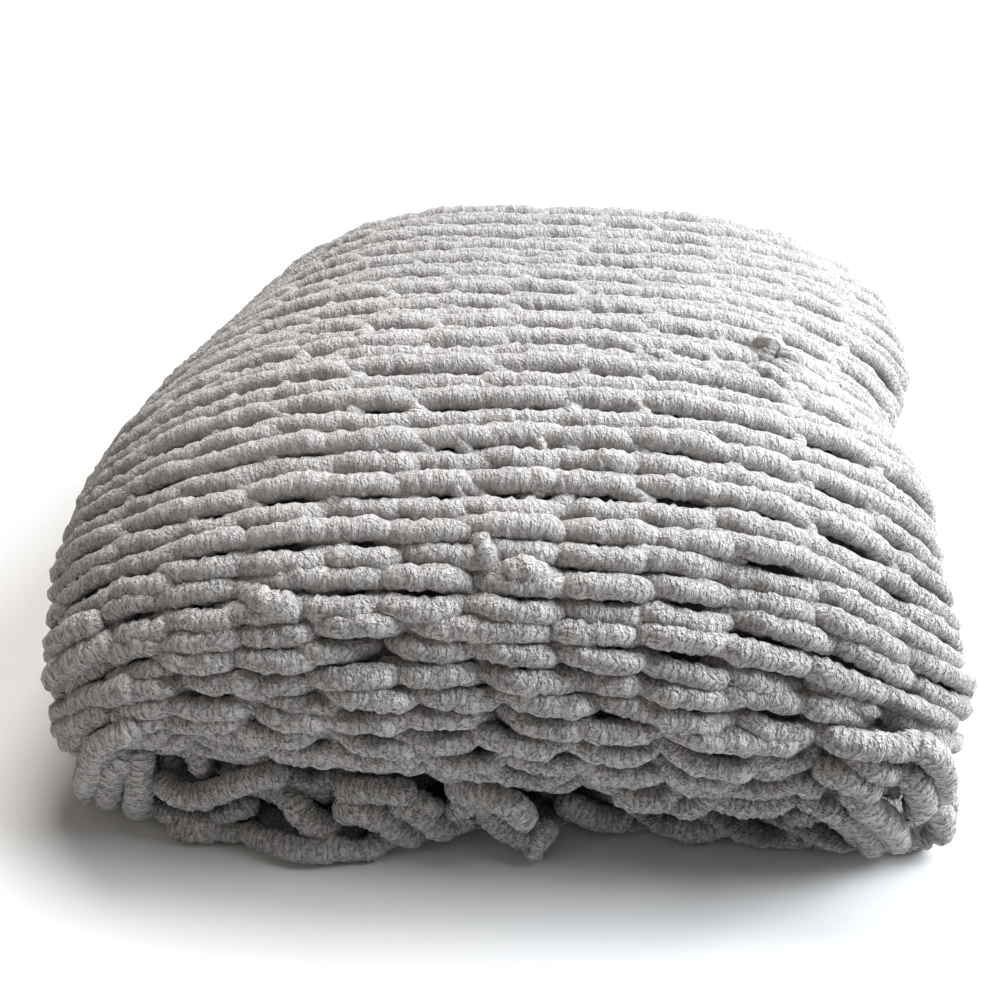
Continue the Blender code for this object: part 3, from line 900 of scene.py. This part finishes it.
FREE_EDGE = (
    # the slack edge over the floor, one fat loop after another
    (1.25, (-0.141, -0.240, 0.034), (-0.129, -0.250, 0.033), (-0.120, -0.256, 0.025),
     (-0.108, -0.258, 0.016), (-0.095, -0.254, 0.011)),
    (1.25, (-0.098, -0.248, 0.022), (-0.083, -0.256, 0.033), (-0.067, -0.258, 0.028),
     (-0.056, -0.258, 0.016), (-0.041, -0.252, 0.010)),
    (1.20, (-0.068, -0.246, 0.024), (-0.055, -0.252, 0.036), (-0.044, -0.256, 0.032),
     (-0.033, -0.256, 0.020), (-0.022, -0.250, 0.012)),
    (1.10, (-0.098, -0.246, 0.040), (-0.076, -0.254, 0.049), (-0.058, -0.256, 0.051),
     (-0.045, -0.252, 0.045)),
    (0.90, (-0.049, -0.250, 0.041), (-0.040, -0.255, 0.039), (-0.034, -0.253, 0.034),
     (-0.033, -0.246, 0.036)),
    (1.10, (-0.025, -0.244, 0.020), (-0.018, -0.251, 0.034), (-0.007, -0.256, 0.044),
     (0.003, -0.250, 0.034)),
    (1.00, (-0.035, -0.250, 0.010), (-0.025, -0.250, 0.013), (-0.017, -0.249, 0.017),
     (-0.008, -0.247, 0.024)),
    # the tail: an end that hangs from the foot, the bight it lies on and the knot below
    (1.25, (-0.026, -0.246, 0.050), (-0.010, -0.254, 0.054), (0.006, -0.262, 0.058),
     (0.019, -0.267, 0.054), (0.028, -0.266, 0.038)),
    (1.15, (-0.006, -0.248, 0.033), (0.005, -0.254, 0.026), (0.016, -0.256, 0.018),
     (0.028, -0.258, 0.014), (0.036, -0.256, 0.018), (0.038, -0.250, 0.026)),
    (0.85, (0.024, -0.260, 0.013), (0.030, -0.264, 0.009), (0.034, -0.261, 0.008)),
    # the edge again, to the right of it
    (1.15, (0.042, -0.233, 0.024), (0.056, -0.236, 0.020), (0.067, -0.236, 0.013),
     (0.081, -0.236, 0.010), (0.095, -0.236, 0.010)),
)
RIGHT_CORNER = (
    # the last rows, which bulge out over the foot
    (1.10, (0.196, -0.258, 0.121), (0.210, -0.264, 0.119), (0.226, -0.265, 0.119),
     (0.241, -0.262, 0.116), (0.254, -0.254, 0.114)),
    (1.10, (0.245, -0.258, 0.118), (0.256, -0.261, 0.113), (0.266, -0.258, 0.100),
     (0.274, -0.252, 0.079), (0.279, -0.244, 0.056)),
    (1.00, (0.208, -0.258, 0.105), (0.223, -0.265, 0.104), (0.233, -0.266, 0.100),
     (0.240, -0.262, 0.095)),
    (1.10, (0.194, -0.262, 0.099), (0.208, -0.267, 0.097), (0.220, -0.268, 0.091),
     (0.232, -0.263, 0.080)),
    # the rope that curls round the dark hole
    (1.15, (0.240, -0.254, 0.094), (0.250, -0.260, 0.090), (0.258, -0.260, 0.080),
     (0.264, -0.256, 0.064), (0.264, -0.248, 0.046)),
    # the ropes that run down to the floor, from right to left
    (1.20, (0.214, -0.256, 0.077), (0.227, -0.262, 0.068), (0.240, -0.260, 0.054),
     (0.252, -0.254, 0.035), (0.262, -0.244, 0.010)),
    (1.10, (0.222, -0.254, 0.054), (0.233, -0.255, 0.038), (0.241, -0.252, 0.023),
     (0.247, -0.247, 0.008)),
    (1.00, (0.190, -0.248, 0.058), (0.202, -0.253, 0.056), (0.215, -0.254, 0.048),
     (0.228, -0.250, 0.032), (0.240, -0.241, 0.011)),
    (1.15, (0.268, -0.246, 0.058), (0.281, -0.244, 0.042), (0.287, -0.240, 0.023),
     (0.284, -0.238, 0.010)),
    (1.00, (0.262, -0.238, 0.009), (0.275, -0.238, 0.009), (0.288, -0.233, 0.010)),
    # the foot's lowest ropes, drooping in loops
    (0.95, (0.180, -0.258, 0.082), (0.192, -0.262, 0.080), (0.202, -0.260, 0.075)),
    (0.95, (0.134, -0.258, 0.085), (0.148, -0.262, 0.078), (0.163, -0.262, 0.077),
     (0.178, -0.260, 0.078), (0.188, -0.255, 0.080)),
    (1.10, (0.138, -0.250, 0.061), (0.149, -0.256, 0.058), (0.163, -0.257, 0.056),
     (0.177, -0.254, 0.056), (0.190, -0.248, 0.059)),
    (1.10, (0.080, -0.252, 0.057), (0.092, -0.258, 0.058), (0.106, -0.257, 0.057),
     (0.115, -0.252, 0.061), (0.118, -0.246, 0.066)),
    (1.00, (0.108, -0.248, 0.055), (0.117, -0.254, 0.051), (0.125, -0.257, 0.051),
     (0.133, -0.257, 0.056), (0.138, -0.254, 0.065), (0.139, -0.248, 0.074)),
    # the free edge on the floor below them
    (1.00, (0.105, -0.234, 0.013), (0.122, -0.240, 0.010), (0.135, -0.241, 0.009),
     (0.148, -0.238, 0.009), (0.161, -0.235, 0.014)),
    (0.90, (0.188, -0.238, 0.025), (0.202, -0.238, 0.024), (0.214, -0.237, 0.016),
     (0.223, -0.238, 0.008)),
    (0.95, (0.164, -0.236, 0.009), (0.180, -0.240, 0.008), (0.192, -0.241, 0.008),
     (0.205, -0.240, 0.008), (0.218, -0.238, 0.009)),
)
# Ends and slack stitches that stand out of the knit: thickness, how frayed, and
# the points each goes through in courses, wales and metres of rise.
SLACK = (
    # the tuft of ends on the top, at the right
    (1.25, 1.6, (1.90, 35.3, 0.000), (1.72, 35.1, 0.012), (1.62, 34.9, 0.021), (1.58, 34.7, 0.026)),
    (1.40, 1.6, (1.56, 35.6, 0.000), (1.40, 35.4, 0.012), (1.30, 35.2, 0.020), (1.24, 35.0, 0.025)),
    (0.85, 1.4, (2.25, 35.8, -0.004), (1.90, 35.7, 0.010), (1.55, 35.9, 0.010), (1.20, 36.2, -0.004)),
    # small knots in the knit
    (0.85, 1.2, (4.40, 38.9, 0.001), (4.05, 38.7, 0.011), (3.70, 38.8, 0.002)),
    (0.70, 1.2, (4.36, 33.3, 0.001), (4.05, 33.2, 0.010), (3.75, 33.3, 0.001)),
    (0.60, 1.2, (3.85, 35.8, 0.002), (3.40, 35.7, 0.009), (2.90, 35.9, 0.002)),
    # the irregular stitches in the middle of the front
    (0.70, 1.2, (5.16, 39.0, -0.010), (5.04, 39.8, 0.0065), (4.98, 40.3, 0.0065), (5.02, 41.0, -0.010)),
    (0.85, 1.2, (5.86, 39.6, -0.010), (5.66, 40.4, 0.0065), (5.52, 40.9, 0.0065), (5.40, 41.6, -0.010)),
    (1.05, 1.2, (5.60, 41.4, -0.006), (5.10, 41.1, 0.009), (4.62, 41.4, -0.006)),
    # the frayed stitch on the left
    (1.10, 1.6, (8.74, 41.4, -0.010), (8.36, 41.7, 0.008), (8.02, 41.9, 0.009), (7.64, 42.2, -0.008)),
)
# The links of yarn that show in the gaps between rows on the top: course and wale
# of each, the points it goes through from there, and its thickness.
LINKS = ((3.75, 37.2), (4.82, 37.2), (5.95, 37.2), (6.90, 37.2), (5.00, 38.3), (6.02, 38.3),
         (5.02, 39.2), (6.05, 39.3), (7.65, 34.9), (8.90, 35.9), (2.70, 36.1), (7.10, 38.4))
LINK_POINTS = ((0.16, -0.34, 0.003), (0.0, 0.0, 0.0085), (-0.16, 0.26, 0.003))
LINK_THICK = 0.62
LOOSE_SEED, SLACK_SEED, LINK_SEED = 700, 760, 780

loose = [loose_rope(points, LOOSE_SEED + i, thick)
         for i, (thick, *points) in enumerate(LEFT_CORNER + FREE_EDGE + RIGHT_CORNER)]
for i, (thick, frayed, *points) in enumerate(SLACK):
    loose.append(loose_rope(place(*np.array(points).T), SLACK_SEED + i, thick, frayed))
for i, (course, wale) in enumerate(LINKS):
    points = np.array(LINK_POINTS) + (course, wale, 0.0)
    loose.append(loose_rope(place(*points.T), LINK_SEED + i, LINK_THICK))
object_of("loose_ropes", joined_tubes("loose_ropes", loose), yarn)

ground = cloth_behind(behind)
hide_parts("blanket")

# --------------------------------------------------------------------------
# Floor, light and camera
# --------------------------------------------------------------------------
HALF_FLOOR = 6.0
ROOM_LIGHT, ROOM_STRENGTH = (1.0, 0.94, 0.87, 1.0), 0.13

floor_mesh = bpy.data.meshes.new("floor")
floor_corners = [(x * HALF_FLOOR, y * HALF_FLOOR, 0.0)
                 for x, y in ((-1, -1), (1, -1), (1, 1), (-1, 1))]
floor_mesh.from_pydata(floor_corners, [], [(0, 1, 2, 3)])
floor = bpy.data.objects.new("floor", floor_mesh)
floor.data.materials.append(floor_paint())
bpy.context.scene.collection.objects.link(floor)

world = bpy.data.worlds.new("studio")
world.use_nodes = True
world.node_tree.nodes["Background"].inputs["Color"].default_value = ROOM_LIGHT
world.node_tree.nodes["Background"].inputs["Strength"].default_value = ROOM_STRENGTH
bpy.context.scene.world = world


def shining(name, kind, toward, strength, colour, at=(0.0, 0.0, 0.0)):
    """A lamp of one kind that shines in one direction."""
    lamp = bpy.data.lights.new(name, kind)
    lamp.energy = strength
    lamp.color = colour
    made = bpy.data.objects.new(name, lamp)
    made.location = at
    made.rotation_euler = Vector(toward).to_track_quat("-Z", "Y").to_euler()
    bpy.context.scene.collection.objects.link(made)
    return lamp


def window_light(name, toward, strength, softness, colour):
    """Even soft light over the whole set, falling in one direction."""
    shining(name, "SUN", toward, strength, colour).angle = math.radians(softness)


def softbox(name, at, target, size, strength, colour):
    """Square soft box close to the blanket, which lights its near side more."""
    shining(name, "AREA", Vector(target) - Vector(at), strength, colour, at).size = size


window_light("ceiling", (-0.15, -0.55, -1.0), 2.85, 30.0, (1.0, 0.975, 0.95))
window_light("side_window", (-0.94, -0.16, -0.88), 2.40, 26.0, (0.94, 0.965, 1.0))
softbox("softbox", (0.85, 0.00, 0.85), (0.0, 0.0, 0.12), 0.50, 7.8, (0.86, 0.94, 1.0))
softbox("right_box", (1.00, -0.16, 0.42), (0.20, 0.0, 0.14), 0.45, 4.0, (0.86, 0.94, 1.0))
softbox("left_box", (-0.75, -0.55, 0.50), (-0.25, -0.22, 0.08), 0.30, 0.4, (1.0, 0.95, 0.89))

# The camera looks down a little from the front and slightly from the right.
ELEVATION, AZIMUTH, ROLL = math.radians(33.9), math.radians(5.3), math.radians(-1.5)
DISTANCE = 0.83
TARGET = Vector((-0.009, -0.0109, 0.11))
FOCAL_LENGTH, SENSOR_WIDTH = 37.8, 36.0         # in millimetres


def look():
    """Camera at DISTANCE from TARGET, turned by AZIMUTH, ELEVATION and ROLL."""
    camera = bpy.data.cameras.new("camera")
    camera.sensor_width = SENSOR_WIDTH
    camera.lens = FOCAL_LENGTH
    made = bpy.data.objects.new("camera", camera)
    bpy.context.scene.collection.objects.link(made)
    back = Vector((math.sin(AZIMUTH) * math.cos(ELEVATION),
                   -math.cos(AZIMUTH) * math.cos(ELEVATION), math.sin(ELEVATION)))
    right = (-back).cross(Vector((0, 0, 1))).normalized()
    up = right.cross(-back)
    turned_right = right * math.cos(ROLL) + up * math.sin(ROLL)
    turned_up = up * math.cos(ROLL) - right * math.sin(ROLL)
    eye = TARGET + back * DISTANCE
    made.matrix_world = Matrix(((turned_right.x, turned_up.x, back.x, eye.x),
                                (turned_right.y, turned_up.y, back.y, eye.y),
                                (turned_right.z, turned_up.z, back.z, eye.z),
                                (0.0, 0.0, 0.0, 1.0)))
    bpy.context.scene.camera = made


look()
bpy.context.scene.view_settings.view_transform = "Standard"
